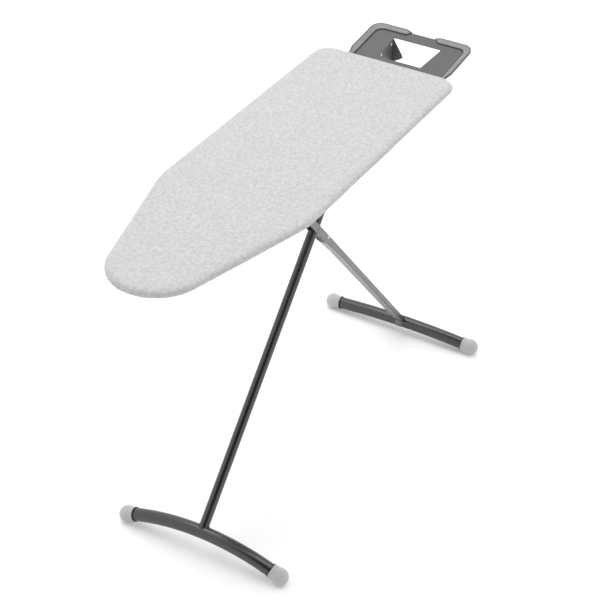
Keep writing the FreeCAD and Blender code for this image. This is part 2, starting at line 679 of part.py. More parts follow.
def rear_leg_fastenings():
    """Sliding rod, scissor bolt with nut and washers, and the spacer rivets."""
    across = Rotation(Z_AXIS, Y_AXIS)
    rod = cylinder("catch_rod", "sizes.rodradius", "2 * sizes.rodhalf",
                   Placement(ROD_PLACE - Y_AXIS * size("rodhalf"), across))
    keep(rod, "catch_rod")
    end_caps("catch_rod_caps", ROD_PLACE, size("rodhalf"), size("rodradius"))
    half = size("channelhalf")
    shank = Part.makeCylinder(size("boltradius"), 2 * half + 7.5, SCISSOR - Y_AXIS * half, Y_AXIS)
    dome = Part.makeSphere(24.9, SCISSOR + Y_AXIS * (23.8 - half))
    head = dome.common(Part.makeCylinder(7, 5, SCISSOR - Y_AXIS * half, -Y_AXIS))
    keep(solid("pivot_bolt", shank.fuse(head).removeSplitter()), "pivot_bolt")
    flats = [Vector(7.5 * math.cos(math.radians(a)), 0, 7.5 * math.sin(math.radians(a)))
             for a in range(0, 361, 60)]
    hexagon = Part.Face(Part.makePolygon([SCISSOR + Y_AXIS * half + corner for corner in flats]))
    nut = hexagon.extrude(Y_AXIS * 6.5)
    nut = nut.cut(Part.makeCylinder(size("boltradius"), 60, SCISSOR, Y_AXIS))
    keep(solid("pivot_nut", nut), "pivot_nut")
    washers = []
    for _, side in SIDES:
        start = SCISSOR + Y_AXIS * (side * (half - size("sheetwall") - 0.4))
        disc = Part.makeCylinder(7.5, 0.4, start, Y_AXIS * side)
        washers.append(disc.cut(Part.makeCylinder(size("boltradius"), 60, SCISSOR - Y_AXIS * 30,
                                                  Y_AXIS)))
    keep(solid("pivot_washers", Part.makeCompound(washers)), "pivot_washers")
    centre = REAR_FRAME.multVec(Vector(RIVET_U, 0, RIVET_V))
    pair = [rivets(f"channel_rivet_{name}", [centre + Y_AXIS * (side * half)], Y_AXIS * side,
                   size("sheetwall"), both=True) for name, side in SIDES]
    doc.recompute()
    keep(solid("channel_rivets", Part.makeCompound([item.Shape for item in pair])),
         "channel_rivets")


# ---------------------------------------------------------------- iron rest
REST_FRAME = Placement(Vector(size("restx"), 0, size("restz")),
                       Rotation(Y_AXIS, -size("restangle")))
REST_RISE = math.tan(math.radians(size("restangle")))


def rest_outline(inset, front):
    """Straight front, straight sides and rounded rear corners, in the rest's own frame."""
    half = size("resthalf") - inset
    rear = size("restlength") - inset
    radius = size("restradius") - inset / 2
    centre = (rear - radius, half - radius)
    corner = [polar(centre, radius, angle) for angle in (90, 45, 0)]
    return [line((-front, half), corner[0]), arc(*corner), line(corner[2], mirrored(corner[2])),
            arc(*[mirrored(point) for point in reversed(corner)]),
            line(mirrored(corner[0]), (-front, -half)), line((-front, -half), (-front, half))]


def rest_wire(inset, height):
    wire = Part.Wire([edge.toShape() for edge in rest_outline(inset, size("restfront"))])
    wire.translate(Vector(0, 0, height))
    return wire


def rest_block(inset, low, high):
    """Upright block inside one outline."""
    return Part.Face(rest_wire(inset, low)).extrude(Vector(0, 0, high - low))


def rest_flare(inset_low, low, inset_high, high):
    """Block whose outline grows or shrinks between two heights."""
    return Part.makeLoft([rest_wire(inset_low, low), rest_wire(inset_high, high)], True, True)


def tray_blank():
    """Sheet with a shallow flared lip."""
    wall = size("restwall")
    flare = -size("lipflare")
    rise = size("liprise")
    under = rest_flare(0, -wall, flare, rise - wall).fuse(rest_block(flare, rise - wall, rise))
    return under.cut(rest_flare(0, 0, flare, rise).fuse(rest_block(flare, rise, rise + 5)))


REST_HOLE = [(25.2, 61.5), (116, 64.6), (119.7, 61), (119.7, -61), (116, -64.6), (25.2, -54.5)]
WALL_RIVETS = [(603.35, 867.3), (547.75, 862.6), (524.05, 860.6)]


def iron_rest():
    """Stamped tray with a shallow flared lip and a large central opening."""
    hole = Part.Face(Part.makePolygon([Vector(x, y, -10) for x, y in REST_HOLE + REST_HOLE[:1]]))
    tray = tray_blank().cut(hole.extrude(Vector(0, 0, 20))).removeSplitter()
    tray.Placement = REST_FRAME
    keep(solid("iron_rest_tray", tray), "iron_rest_tray")


def rest_guard(label, side):
    """Heat-proof strip over the lip along one side and round the rear corner."""
    outer = -size("guardflare")
    top = size("guardrise")
    low = 0.6
    step = low + 1.0
    strip = rest_block(outer, low, top).cut(rest_block(-0.4, low - 1, step + 0.01))
    strip = strip.cut(rest_flare(-0.4, step, outer + 1.5, top)).cut(tray_blank())
    rear = size("restlength")
    reach = rear - outer + 10
    half = size("resthalf")
    zone = [(2, 60), (2, half + 11.5), (35, half - outer + 0.8), (35, 170), (reach, 170),
            (reach, size("guardgap")), (rear - outer, size("guardgap")),
            (rear + size("lipflare"), size("guardtip")), (rear - 4, size("guardgap")), (60, 60)]
    zone_face = Part.Face(Part.makePolygon([Vector(x, side * y, -5) for x, y in zone + zone[:1]]))
    strip = strip.common(zone_face.extrude(Vector(0, 0, 40))).removeSplitter()
    strip.Placement = REST_FRAME
    keep(solid(label, strip), label)


def tray_under(x):
    """Height of the underside of the tray."""
    return (size("restz") - size("restwall") / math.cos(math.radians(size("restangle")))
            + (x - size("restx")) * REST_RISE)


STAY_X = size("bracerear") + size("bracewidth") / 2 + 8


def sheet_piece(points, axis_name, offset, wall):
    """Flat sheet from its outline, across X or across Y."""
    if axis_name == "Y":
        corners = [Vector(x, offset, z) for x, z in points]
        direction = Y_AXIS
    else:
        corners = [Vector(offset, y, z) for y, z in points]
        direction = X_AXIS
    return Part.Face(Part.makePolygon(corners + corners[:1])).extrude(direction * wall)


def rest_bracket(name, side):
    """Folded bracket from the rear brace to the tray, with a pointed stiffening flap."""
    wall = size("restwall")
    inner = size("bracketinner")
    rear = size("bracketx")
    low = size("bracketlow")
    top = PANEL_LOW - 2
    start = STAY_X + size("restwall")
    front = size("restx") - size("restfront") + 0.2
    web = [(start, top), (start + 4, top), (start + 4, 877), (front - 1, 877),
           (front - 1, tray_under(front - 1)), (rear, tray_under(rear)), (rear, low),
           (rear - 43, low - 7), (start, 848)]
    flap = [(inner + wall, tray_under(rear - wall)), (inner, tray_under(rear - wall)),
            (inner - 26, 838), (inner - 27.3, 833), (inner - 24, 829), (inner, low),
            (inner + wall, low)]
    foot_flange = Part.makeBox(wall, 22, 36, Vector(start, inner, size("staylow")))
    bracket = sheet_piece(web, "Y", inner, wall).fuse(
        [sheet_piece(flap, "X", rear - wall, wall), foot_flange])
    angle_low = 20
    ledge = Part.makeBox(164, 16, wall, Vector(-55, inner + wall, -2 * wall))
    upright = Part.makeBox(164, wall, angle_low, Vector(-55, inner + wall, -2 * wall - angle_low))
    angle = ledge.fuse(upright)
    angle.Placement = REST_FRAME
    holes = Part.makeCompound([Part.makeCylinder(size("rivetradius"), 20, Vector(x, inner - 5, z),
                                                 Y_AXIS) for x, z in WALL_RIVETS])
    for label, piece in ((f"rest_bracket_{name}", bracket.cut(holes)),
                         (f"rest_angle_{name}", angle.cut(holes))):
        if side < 0:
            piece = piece.mirror(Vector(), Y_AXIS)
        keep(solid(label, piece.removeSplitter()), label)


def rest_rivets():
    """Rivets through each bracket and its angle, heads towards the middle."""
    groups = [rivets(f"rest_rivets_{name}",
                     [Vector(x, side * size("bracketinner"), z) for x, z in WALL_RIVETS],
                     Y_AXIS * -side, 2 * size("restwall")) for name, side in SIDES]
    doc.recompute()
    keep(solid("rest_rivets", Part.makeCompound([group.Shape for group in groups])), "rest_rivets")


def brace_stay():
    """Upright plate under the rear brace that the rest brackets are riveted to."""
    stay = box("rest_stay", "sizes.restwall", "sizes.staywidth", "sizes.staydepth",
               Vector(STAY_X, -size("staywidth") / 2, size("staylow")))
    keep(stay, "rest_stay")


# ---------------------------------------------------------------- release lever
def release_lever():
    """Clamp bar over the sliding rod, turned by a rod and grip within reach of a hand."""
    pivot = (size("leverx"), size("leverz"))
    reach = size("leverreach")
    under = size("toppivotz") + size("rodradius") + size("leverclear")
    top = under + size("leverdepth")
    boss = size("leverboss")
    rear = (pivot[0] + math.sqrt(boss ** 2 - (pivot[1] - under) ** 2), under)
    bar = [
        line((pivot[0] - reach, under + 3), (pivot[0] - reach, top - 3)),
        line((pivot[0] - reach, top - 3), (pivot[0] - reach + 6, top)),
        line((pivot[0] - reach + 6, top), (pivot[0] - 16, top)),
        line((pivot[0] - 16, top), polar(pivot, boss, 110)),
        arc(polar(pivot, boss, 110), polar(pivot, boss, 20), rear),
        line(rear, (pivot[0] - reach + 3, under)),
        line((pivot[0] - reach + 3, under), (pivot[0] - reach, under + 3)),
    ]
    outer = size("leverinner") + size("leverthick")
    blade = slab("lever_blank", "XZ_Plane", bar, "sizes.leverinner", "sizes.leverthick")
    across = Rotation(Z_AXIS, Y_AXIS)
    bore = cylinder("lever_bore", "sizes.pinradius + sizes.runclear", "20",
                    Placement(Vector(pivot[0], -outer - 5, pivot[1]), across))
    handle_x = pivot[0] - size("handleset")
    handle_z = (under + top) / 2
    socket = cylinder("lever_socket", "sizes.handleradius", "20",
                      Placement(Vector(handle_x, -outer - 5, handle_z), across))
    keep(cut("release_lever_bar", blade, [bore, socket]), "release_lever_bar")
    handle = cylinder("release_lever_handle", "sizes.handleradius",
                      "sizes.leverthick + sizes.handlereach",
                      Placement(Vector(handle_x, -size("leverinner"), handle_z),
                                Rotation(Z_AXIS, -Y_AXIS)))
    keep(handle, "release_lever_handle")
    start = Vector(handle_x, -outer - size("gripset"), handle_z)
    grip = Part.makeCylinder(size("gripradius"), size("griplength"), start, -Y_AXIS)
    grip = grip.makeFillet(3, [edge for edge in grip.Edges if edge.Closed and edge.Length > 40])
    depth = size("handlereach") - size("gripset")
    hole = Part.makeCylinder(size("handleradius"), depth, start, -Y_AXIS)
    keep(solid("release_lever_grip", grip.cut(hole)), "release_lever_grip")
    inner = size("railhalf")
    shank = Part.makeCylinder(size("pinradius"), outer - inner + 1, Vector(pivot[0], -inner, pivot[1]),
                              -Y_AXIS)
    head = Part.makeCylinder(6, 2, Vector(pivot[0], -outer - 1, pivot[1]), -Y_AXIS)
    keep(solid("lever_pin", shank.fuse(head).removeSplitter()), "lever_pin")


def lever_spring():
    """Torsion spring round the lever's pin."""
    pitch = size("springpitch")
    radius = size("springradius")
    coil = Part.makeHelix(pitch, 5 * pitch, radius)
    section = Part.Wire(Part.makeCircle(size("springwire"), Vector(radius, 0, 0), Y_AXIS))
    spring = Part.Wire(coil).makePipeShell([section], True, True)
    start = -size("railhalf") - size("railwall") - 0.8
    spring.Placement = Placement(Vector(size("leverx"), start, size("leverz")),
                                 Rotation(Z_AXIS, -Y_AXIS))
    keep(solid("lever_spring", spring), "lever_spring")


# ---------------------------------------------------------------- build
table_cover()
table_pad()
table_panel()
cross_brace("front_cross_brace", size("bracefront"), size("bracefronthalf"))
cross_brace("rear_cross_brace", size("bracerear"), size("bracerearhalf"))
for side_name, side_sign in SIDES:
    slide_rail(f"slide_rail_{side_name}", side_sign)
keep(rivets("rail_rivets", RAIL_RIVETS, -Z_AXIS, size("railwall") + size("panelthick")), "rail_rivets")
top_pivot_bushes()
front_leg()
foot("front", FRONT_ARCH)
foot("rear", REAR_ARCH)
rear_leg_channel()
rear_leg_fastenings()
iron_rest()
for side_name, side_sign in SIDES:
    rest_guard(f"rest_guard_{side_name}", side_sign)
    rest_bracket(side_name, side_sign)
brace_stay()
rest_rivets()
release_lever()
lever_spring()
doc.recompute()

for obj in doc.Objects:
    if "Invalid" in obj.State or "Error" in obj.State:
        raise RuntimeError(f"{obj.Label} failed: {obj.State}")
for obj in nodes:
    if obj.Shape.isNull() or not obj.Shape.isValid() or obj.Shape.Volume <= 0:
        raise RuntimeError(f"{obj.Label} has no valid shape")
for obj in nodes:
    obj.Shape.exportStep(f"parts/{obj.Label}.step")
    bounds = obj.Shape.BoundBox
    print(f"{obj.Label:24s} {len(obj.Shape.Solids)} solids {obj.Shape.Volume / 1000:9.2f} cm3 "
          f"x {bounds.XMin:8.1f} {bounds.XMax:8.1f} y {bounds.YMin:7.1f} {bounds.YMax:7.1f} "
          f"z {bounds.ZMin:6.1f} {bounds.ZMax:6.1f}")
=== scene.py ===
# %% [markdown]
# # A folding ironing board
# The steel frame comes packed from the CAD model and stays exactly as it is. This lesson adds what
# Blender is good at: the fitted cloth cover with its gathered hem, the soft pad, a weld bead, and a
# finish for every piece. Everything is in metres, with the floor at height zero.

# %% Load the frame
import math

import bmesh
import bpy
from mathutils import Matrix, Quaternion, Vector, geometry


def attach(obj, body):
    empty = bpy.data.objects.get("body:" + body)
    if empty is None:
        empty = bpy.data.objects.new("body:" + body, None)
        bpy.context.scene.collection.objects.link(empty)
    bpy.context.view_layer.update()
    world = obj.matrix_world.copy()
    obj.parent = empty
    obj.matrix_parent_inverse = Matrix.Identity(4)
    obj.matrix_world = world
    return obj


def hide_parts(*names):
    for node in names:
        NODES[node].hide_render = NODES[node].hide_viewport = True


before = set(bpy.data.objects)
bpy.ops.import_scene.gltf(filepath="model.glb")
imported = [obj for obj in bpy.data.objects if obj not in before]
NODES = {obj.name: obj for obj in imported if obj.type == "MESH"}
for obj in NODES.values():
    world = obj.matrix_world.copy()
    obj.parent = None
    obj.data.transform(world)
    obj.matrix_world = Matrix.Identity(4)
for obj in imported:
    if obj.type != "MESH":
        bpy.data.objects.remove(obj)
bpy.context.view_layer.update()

MM = 0.001

# %% [markdown]
# ## Camera
# A long lens from high on the front left flattens the perspective. The camera is aimed at a point
# between the legs and leans by about a degree and a half.

# %% Camera
AIM = Vector((-0.0482, -0.0503, 0.5244))
HEADING = math.radians(28.6)
PITCH = math.radians(35.08)
LEAN = math.radians(1.49)
DISTANCE = 3.9917
LENS = 104.09

forward = Vector((math.cos(PITCH) * math.cos(HEADING), math.cos(PITCH) * math.sin(HEADING),
                  -math.sin(PITCH)))
camera_data = bpy.data.cameras.new("camera")
camera_data.lens = LENS
camera_data.sensor_width = 36.0
camera = bpy.data.objects.new("camera", camera_data)
camera.location = AIM - forward * DISTANCE
camera.rotation_mode = "QUATERNION"
camera.rotation_quaternion = forward.to_track_quat("-Z", "Y") @ Quaternion((0, 0, 1), LEAN)
bpy.context.scene.collection.objects.link(camera)
bpy.context.scene.camera = camera
print("camera at", [round(value, 3) for value in camera.location])

# %% [markdown]
# ## Helpers for finishes
# A colour is written as the hex value a designer would give, which is sRGB, and one function turns
# it to the linear values that shaders work in. Another adds a node with its settings and links.


# %% Helpers for finishes
def linear(code):
    """Linear colour from an sRGB hex value."""
    parts = [int(code[i:i + 2], 16) / 255 for i in (0, 2, 4)]
    return [part / 12.92 if part <= 0.04045 else ((part + 0.055) / 1.055) ** 2.4
            for part in parts] + [1.0]


def add(material, kind, inputs=None, **settings):
    """Add a node: settings are its properties, inputs its values or links."""
    made = material.node_tree.nodes.new("ShaderNode" + kind)
    for name, value in settings.items():
        setattr(made, name, value)
    for name, value in (inputs or {}).items():
        if isinstance(value, bpy.types.NodeSocket):
            material.node_tree.links.new(value, made.inputs[name])
        else:
            made.inputs[name].default_value = value
    return made


def start_material(name, **sockets):
    """A new material with its shader's constant values set on the shader's own sockets."""
    material = bpy.data.materials.new(name)
    material.use_nodes = True
    shader = material.node_tree.nodes["Principled BSDF"]
    for socket, value in sockets.items():
        shader.inputs[socket.replace("_", " ")].default_value = value
    return material, shader


def two_tone(material, mask, low, high):
    """Blend two colours by a mask, with the change spread over most of its range."""
    ramp = add(material, "ValToRGB", {"Fac": mask})
    ramp.color_ramp.elements[0].position = 0.3
    ramp.color_ramp.elements[1].position = 0.7
    ramp.color_ramp.elements[0].color = linear(low)
    ramp.color_ramp.elements[1].color = linear(high)
    return ramp.outputs["Color"]


def grain(material, size_mm, detail=2.0, squeeze=(1, 1, 1)):
    """Noise whose lumps are about the given size, on Object coordinates."""
    place = add(material, "TexCoord").outputs["Object"]
    scaled = add(material, "Mapping", {"Vector": place, "Scale": squeeze})
    return add(material, "TexNoise", {"Vector": scaled.outputs["Vector"],
                                      "Scale": 0.5 / (size_mm * MM), "Detail": detail}).outputs["Fac"]


def relief(material, shader, mask, depth_mm, strength=1.0, under=None):
    """Bump from a mask, its depth in millimetres."""
    inputs = {"Height": mask, "Distance": depth_mm * MM, "Strength": strength}
    if under:
        inputs["Normal"] = under
    bump = add(material, "Bump", inputs)
    material.node_tree.links.new(bump.outputs["Normal"], shader.inputs["Normal"])
    return bump.outputs["Normal"]


def finish_nodes(material, names):
    """Give a finish to CAD nodes."""
    for name in names:
        NODES[name].data.materials.clear()
        NODES[name].data.materials.append(material)


# %% [markdown]
# ## Powder-coated steel
# The tubes are mild steel with a satin powder coat: dry powder is sprayed on and melted, which leaves
# a very fine orange peel. It is a dielectric film over metal, so it is not metallic, and its gloss
# comes from a middling roughness. The silver coat is the exception: it is full of aluminium flake, so
# it is mostly metallic. The peel is about 1.5 mm from lump to lump and a few hundredths deep.


# %% Powder-coated steel
def powder_coat(name, low, high, roughness, peel_mm=1.5, depth_mm=0.02, **sockets):
    """Satin powder coat: slight cloudiness of colour and gloss, and a fine orange peel."""
    material, shader = start_material(name, **sockets)
    cloud = grain(material, 35.0, 3.0)
    material.node_tree.links.new(two_tone(material, cloud, low, high), shader.inputs["Base Color"])
    gloss = add(material, "MapRange", {"Value": cloud, "To Min": roughness - 0.04,
                                       "To Max": roughness + 0.05})
    material.node_tree.links.new(gloss.outputs["Result"], shader.inputs["Roughness"])
    relief(material, shader, grain(material, peel_mm, 1.0), depth_mm)
    return material


dark_coat = powder_coat("dark_powder_coat", "171717", "1C1C1C", 0.26, IOR=1.75)
black_coat = powder_coat("black_powder_coat", "0C0C0C", "101010", 0.3, IOR=1.5)
pale_coat = powder_coat("pale_powder_coat", "C4C6C8", "CDCFD0", 0.42, IOR=1.5)
rest_coat = powder_coat("grey_heat_enamel", "505050", "565656", 0.4, peel_mm=2.2, IOR=1.5)
silver_coat = powder_coat("silver_powder_coat", "6C6C6C", "747474", 0.3, Metallic=0.7)
finish_nodes(dark_coat, ["front_leg_tube", "front_leg_top_bar", "front_foot_tube", "rear_foot_tube",
                         "slide_rail_left", "slide_rail_right", "release_lever_bar",
                         "release_lever_handle"])
finish_nodes(black_coat, ["front_foot_collars", "rear_foot_collars"])
finish_nodes(pale_coat, ["table_panel", "edge_rim", "front_cross_brace", "rear_cross_brace"])
finish_nodes(rest_coat, ["iron_rest_tray", "rest_bracket_left", "rest_bracket_right",
                         "rest_angle_left", "rest_angle_right", "rest_stay"])
finish_nodes(silver_coat, ["rear_leg_channel", "pivot_bolt"])
print("coated steel:", dark_coat.name, black_coat.name, pale_coat.name, rest_coat.name,
      silver_coat.name)

# %% [markdown]
# ## Plated steel
# Rivets, bolts, the sliding rod and the spring are zinc plated: a bright bluish metal with a faint
# crystalline spangle and fine scuffs from tumbling in the plating barrel.


# %% Plated steel
def zinc_plate():
    material, shader = start_material("bright_zinc_plate", Metallic=1.0)
    spangle = grain(material, 1.2, 4.0)
    material.node_tree.links.new(two_tone(material, spangle, "C2C4C7", "E2E3E4"),
                                 shader.inputs["Base Color"])
    scuff = add(material, "MapRange", {"Value": spangle, "To Min": 0.18, "To Max": 0.36})
    material.node_tree.links.new(scuff.outputs["Result"], shader.inputs["Roughness"])
    relief(material, shader, spangle, 0.015)
    return material


zinc = zinc_plate()
finish_nodes(zinc, ["pivot_nut", "catch_rod", "rail_rivets", "rest_rivets",
                    "channel_rivets", "lever_pin", "lever_spring", "pivot_sleeve"])
print("plated steel:", zinc.name)

# %% [markdown]
# ## Moulded plastics
# The ball caps are moulded polyethylene, soft enough to grip a floor: a slightly waxy light grey with
# the fine sparked texture of the mould. The bushes and washers are natural nylon, the small caps and
# the lever's grip a dark polypropylene. The guards on the rest are a grey silicone that bears heat,
# with a near-black band of painted shade along their edges, for the shadow at their outline.


# %% Moulded plastics
def moulded(name, low, high, roughness, waxy=0.0, spark_mm=0.9, depth_mm=0.04, painted_shade_edge_mm=0.0):
    """Moulded plastic: faint flow clouds, a sparked mould texture, and some waxiness.

    An edge width adds a near-black band of painted shade along the edges, for the shadow at their
    outline."""
    material, shader = start_material(name, IOR=1.46, Subsurface_Weight=waxy,
                                      Subsurface_Radius=(0.004, 0.004, 0.004))
    flow = grain(material, 18.0, 2.0)
    colour = two_tone(material, flow, low, high)
    # Painted shade: near-black where the surface turns at an edge, standing in for the shadow along
    # the outline.
    if painted_shade_edge_mm:
        rounded = add(material, "Bevel", {"Radius": painted_shade_edge_mm * MM}, samples=8)
        flat = add(material, "NewGeometry").outputs["Normal"]
        turn = add(material, "VectorMath", {0: rounded.outputs["Normal"], 1: flat},
                   operation="DOT_PRODUCT")
        edge = add(material, "MapRange", {"Value": turn.outputs["Value"], "From Min": 0.999,
                                          "From Max": 0.97})
        colour = add(material, "MixRGB", {"Fac": edge.outputs["Result"], "Color1": colour,
                                          "Color2": linear("121212")}).outputs["Color"]
    material.node_tree.links.new(colour, shader.inputs["Base Color"])
    spark = grain(material, spark_mm, 2.0)
    gloss = add(material, "MapRange", {"Value": spark, "To Min": roughness - 0.06,
                                       "To Max": roughness + 0.06})
    material.node_tree.links.new(gloss.outputs["Result"], shader.inputs["Roughness"])
    relief(material, shader, spark, depth_mm)
    return material


cap_plastic = moulded("light_grey_polyethylene", "B4B4B4", "BABABA", 0.5, waxy=0.1)
nylon = moulded("natural_nylon", "DDDAD0", "E4E1D8", 0.45, waxy=0.15)
dark_plastic = moulded("dark_polypropylene", "2B2B2C", "313132", 0.5)
# The guards carry a 5 mm band of painted near-black shade along their edges.
silicone = moulded("grey_silicone", "7C7C7C", "848484", 0.34, painted_shade_edge_mm=5.0)
finish_nodes(cap_plastic, ["front_foot_cap_left", "front_foot_cap_right", "rear_foot_cap_left",
                           "rear_foot_cap_right"])
finish_nodes(nylon, ["top_pivot_bushes", "pivot_washers"])
finish_nodes(dark_plastic, ["top_bar_caps", "catch_rod_caps", "release_lever_grip"])
finish_nodes(silicone, ["rest_guard_left", "rest_guard_right"])

print("plastics:", cap_plastic.name, nylon.name, dark_plastic.name, silicone.name)

# %% [markdown]
# ## Foam and elastic
# The pad is an open-cell polyurethane foam, seen only through the steam vents from below. The cord in
# the hem is rubber wrapped in white yarn, so it has a fine diagonal wrap.


# %% Foam and elastic
FOAM_CELL = 2.0 * MM
WRAP_PITCH = 1.2 * MM


def foam_finish():
    material, shader = start_material("polyurethane_foam", Roughness=0.95)
    place = add(material, "TexCoord").outputs["Object"]
    cells = add(material, "TexVoronoi", {"Vector": place, "Scale": 1 / FOAM_CELL})
    material.node_tree.links.new(two_tone(material, cells.outputs["Distance"], "B9B4A2", "DAD6C6"),
                                 shader.inputs["Base Color"])
    relief(material, shader, cells.outputs["Distance"], 0.6)
    return material


def elastic_finish():
    material, shader = start_material("covered_elastic", Roughness=0.85, Sheen_Weight=0.2)
    place = add(material, "TexCoord").outputs["Object"]
    wrap = add(material, "TexWave", {"Vector": place, "Scale": 0.33 / WRAP_PITCH},
               bands_direction="DIAGONAL")
    material.node_tree.links.new(two_tone(material, wrap.outputs["Fac"], "B8B8B8", "DCDCDC"),
                                 shader.inputs["Base Color"])
    relief(material, shader, wrap.outputs["Fac"], 0.2)
    return material


finish_nodes(foam_finish(), ["foam_pad"])
finish_nodes(elastic_finish(), ["hem_elastic"])
print("foam cells", FOAM_CELL / MM, "mm wide, yarn wrapped every", WRAP_PITCH / MM, "mm")

# %% [markdown]
# ## Cover cloth
# The cover is a plain-woven cotton, printed with a very fine grey speckle. A thread is about a third
# of a millimetre, too fine to show, so the weave is drawn at 1.5 mm: two crossed waves that
# alternate like threads going over and under. The speckle is a noise with lumps of about 3 mm.


# %% Cover cloth
THREAD = 1.5 * MM
WAVE_SCALE = 0.314


def cover_cloth_finish():
    material, shader = start_material("speckled_cotton", Roughness=0.92, Sheen_Weight=0.15,
                                      Sheen_Roughness=0.5)
    place = add(material, "TexCoord").outputs["Object"]
    threads = []
    for direction in ("X", "Y"):
        wave = add(material, "TexWave", {"Vector": place, "Scale": WAVE_SCALE * 2 / THREAD},
                   bands_direction=direction)
        threads.append(wave.outputs["Fac"])
    weave = add(material, "Math", {0: threads[0], 1: threads[1]}, operation="MULTIPLY").outputs[0]
    speckle = grain(material, 3.2, 3.0)
    ramp = two_tone(material, speckle, "ADADAD", "C3C3C3")
    material.node_tree.links.new(ramp, shader.inputs["Base Color"])
    under = relief(material, shader, weave, 0.1, 0.6)
    relief(material, shader, speckle, 0.35, 0.6, under)
    return material


cover_cloth = cover_cloth_finish()
finish_nodes(cover_cloth, ["cover"])
print("cloth:", cover_cloth.name)

# %% [markdown]
# ## The fitted cover
# The cover was cut about 40 mm larger than the table all round, and an elastic in its hem draws that
# margin in underneath. It starts as the outside of the CAD cover, closed underneath and remeshed to
# even squares of a few millimetres. A slightly smaller copy of the same block stands in for the table
# while the cloth is simulated.


# %% Copy the outside of the cover
def make_active(piece):
    bpy.ops.object.select_all(action="DESELECT")
    piece.select_set(True)
    bpy.context.view_layer.objects.active = piece


def copy_of(node, label):
    """A merged copy of a CAD node's mesh, as a new piece."""
    piece = bpy.data.objects.new(label, NODES[node].data.copy())
    bpy.context.scene.collection.objects.link(piece)
    make_active(piece)
    bpy.ops.object.mode_set(mode="EDIT")
    bpy.ops.mesh.select_all(action="SELECT")
    bpy.ops.mesh.remove_doubles(threshold=0.01 * MM)
    bpy.ops.object.mode_set(mode="OBJECT")
    return piece


def drop_faces(piece, unwanted):
    """Delete the faces for which a test holds."""
    make_active(piece)
    bpy.ops.object.mode_set(mode="EDIT")
    bpy.ops.mesh.select_mode(type="FACE")
    bpy.ops.mesh.select_all(action="DESELECT")
    shape = bmesh.from_edit_mesh(piece.data)
    for face in shape.faces:
        face.select_set(unwanted(face))
    bmesh.update_edit_mesh(piece.data)
    bpy.ops.mesh.delete(type="FACE")
    bpy.ops.object.mode_set(mode="OBJECT")


MIDDLE = 890.5 * MM  # height of the middle of the pad and cover
NOSE_X = -548.8 * MM  # ends of the line that the cover is wrapped round
TAIL_X = 413.0 * MM


def faces_inwards(face):
    """True for the inner skin of the CAD cover, whose faces look at that line."""
    centre = face.calc_center_median()
    spine = Vector((min(max(centre.x, NOSE_X), TAIL_X), 0, MIDDLE))
    return face.normal.dot(centre - spine) <= 0


cover = copy_of("cover", "cover_cloth")
drop_faces(cover, faces_inwards)
make_active(cover)
bpy.ops.object.mode_set(mode="EDIT")
bpy.ops.mesh.select_mode(type="EDGE")
bpy.ops.mesh.select_all(action="DESELECT")
bpy.ops.mesh.select_non_manifold()
bpy.ops.mesh.edge_face_add()
bpy.ops.mesh.select_all(action="SELECT")
bpy.ops.mesh.normals_make_consistent(inside=False)
bpy.ops.object.mode_set(mode="OBJECT")
print(len(cover.data.polygons), "faces in the closed outside of the cover")

# %% [markdown]
# ## The foam pad
# The foam is remeshed to squares of 4 mm and drawn in by 1.5 mm all round, as foam is under a tight
# cover. Its own weight presses it a little way into every steam vent, and a ray cast down from each
# point of its underside tells where there is no steel below.

# %% The foam pad
PAD_SQUARE_MM = 4
PAD_DRAWN_IN_MM = 1.5
PAD_UNDERSIDE = MIDDLE + 2 * MM
VENT_REACH = 6 * MM
VENT_BULGE = 0.9 * MM


def remesh(piece, side_mm):
    """Rebuild a closed piece in even squares."""
    remesher = piece.modifiers.new("squares", "REMESH")
    remesher.mode = "VOXEL"
    remesher.voxel_size = side_mm * MM
    make_active(piece)
    bpy.ops.object.modifier_apply(modifier=remesher.name)


def swell(piece, distance_mm):
    """Move every point of a piece along its normal."""
    make_active(piece)
    bpy.ops.object.mode_set(mode="EDIT")
    bpy.ops.mesh.select_all(action="SELECT")
    bpy.ops.transform.shrink_fatten(value=distance_mm * MM)
    bpy.ops.object.mode_set(mode="OBJECT")


pad = copy_of("foam_pad", "foam_pad_soft")
remesh(pad, PAD_SQUARE_MM)
swell(pad, -PAD_DRAWN_IN_MM)
panel = NODES["table_panel"]
bulged = 0
for vertex in pad.data.vertices:
    if vertex.co.z >= PAD_UNDERSIDE:
        continue
    if not panel.ray_cast(vertex.co, (0, 0, -1), distance=VENT_REACH)[0]:
        vertex.co.z -= VENT_BULGE
        bulged += 1
make_active(pad)
bpy.ops.object.shade_smooth()
pad.data.materials.clear()
pad.data.materials.append(NODES["foam_pad"].data.materials[0])
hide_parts("foam_pad")
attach(pad, "board")
print(len(pad.data.polygons), "faces in the pad,", bulged, "points pressed into the vents")

# %% [markdown]
# ## Even squares, and the table under the cloth
# Squares of 6 mm bend well in the simulation. The mouth is the part of the underside inside the ring
# of the elastic, and the ring is convex, so a point is inside it when it is left of every side.


# %% Remesh and open the mouth
CLOTH_SQUARE_MM = 6
FORMER_DRAWN_IN_MM = 1.4
UNDERSIDE = MIDDLE - 6 * MM

remesh(cover, CLOTH_SQUARE_MM)
former = cover.copy()
former.data = cover.data.copy()
bpy.context.scene.collection.objects.link(former)
swell(former, -FORMER_DRAWN_IN_MM)

ring_points = [vertex.co.xy for vertex in NODES["hem_elastic"].data.vertices]
hull = [ring_points[index] for index in geometry.convex_hull_2d(ring_points)]
if sum(a.cross(b) for a, b in zip(hull, hull[1:] + hull[:1])) < 0:
    hull.reverse()
ring_sides = [(a, (b - a).normalized()) for a, b in zip(hull, hull[1:] + hull[:1])
              if (b - a).length > 0.1 * MM]


def inside_ring(point, margin):
    """True where a point is further inside the ring of the elastic than a margin."""
    return min(along.cross(point.xy - start) for start, along in ring_sides) > margin


drop_faces(cover, lambda face: face.calc_center_median().z < UNDERSIDE
           and inside_ring(face.calc_center_median(), 3 * MM))
print(len(cover.data.polygons), "squares of cloth")

